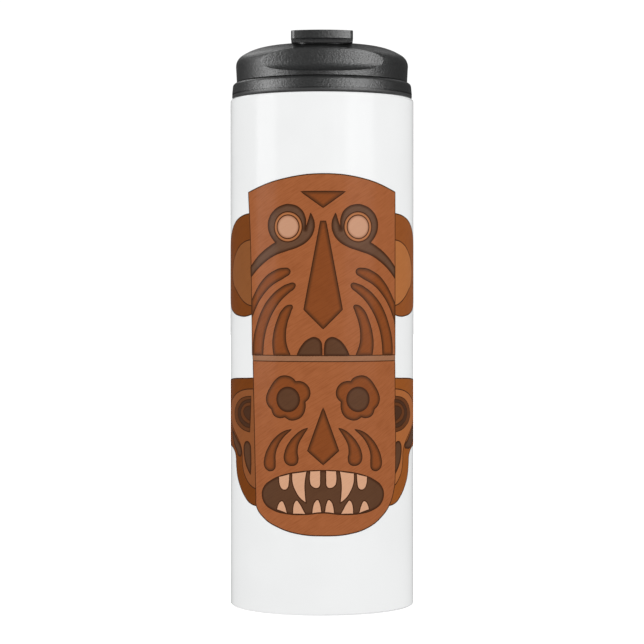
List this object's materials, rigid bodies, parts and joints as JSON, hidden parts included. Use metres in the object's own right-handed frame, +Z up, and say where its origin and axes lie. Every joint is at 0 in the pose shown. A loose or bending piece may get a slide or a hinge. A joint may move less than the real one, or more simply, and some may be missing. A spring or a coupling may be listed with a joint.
{
  "type": "insulated tumbler with flip-tab lid",
  "caption": "Straight-sided double-wall vacuum tumbler with a screw-in lid, hinged flip tab and stopper, printed around its front with two stacked carved-wood style masks.",
  "frame": {"origin": "middle of the resting face, on the axis of the tumbler", "axes": "+Z up along the tumbler's axis, -Y towards the front: the drinking side and the middle of the printed pattern, +X to the right seen from the front"},
  "size_m": [0.066, 0.066, 0.2043],
  "materials": {
    "white_coat": "glossy white coating on steel",
    "liner_steel": "electropolished steel",
    "base_steel": "drawn steel",
    "getter_metal": "matt sintered metal",
    "solder": "solder bead",
    "pad_rubber": "pale non-slip rubber",
    "gasket_silicone": "dark silicone",
    "lid_plastic": "black satin moulded plastic",
    "seal_silicone": "grey silicone",
    "pin_steel": "bright drawn wire",
    "tab_plastic": "black satin moulded plastic",
    "plug_silicone": "dark silicone"
  },
  "bodies": {
    "tumbler": {"outer_shell": "white_coat", "inner_liner": "liner_steel", "outer_bottom": "base_steel", "getter_capsule": "getter_metal", "vacuum_seal": "solder", "base_pad": "pad_rubber"},
    "gasket": {"rim_gasket": "gasket_silicone"},
    "lid": {"lid_base": "lid_plastic", "lid_top": "lid_plastic", "throat_seal": "seal_silicone", "hinge_pin": "pin_steel"},
    "tab": {"flip_tab": "tab_plastic", "drink_plug": "plug_silicone", "vent_plug": "plug_silicone"}
  },
  "joints": [
    {"name": "lid_lift", "type": "slide", "parent": "tumbler", "child": "gasket", "axis": [0, 0, 1], "range_m": [0, 0.0135]},
    {"name": "lid_turn", "type": "hinge", "parent": "gasket", "child": "lid", "pos_m": [0, 0, 0.1819], "axis": [0, 0, 1], "range_deg": [0, 540]},
    {"name": "tab_flip", "type": "hinge", "parent": "lid", "child": "tab", "pos_m": [0, 0.004, 0.20245], "axis": [-1, 0, 0], "range_deg": [0, 135]}
  ],
  "couplings": [
    {"joint": "lid_lift", "follows": "lid_turn", "m_per_rad": 0.0014324}
  ]
}
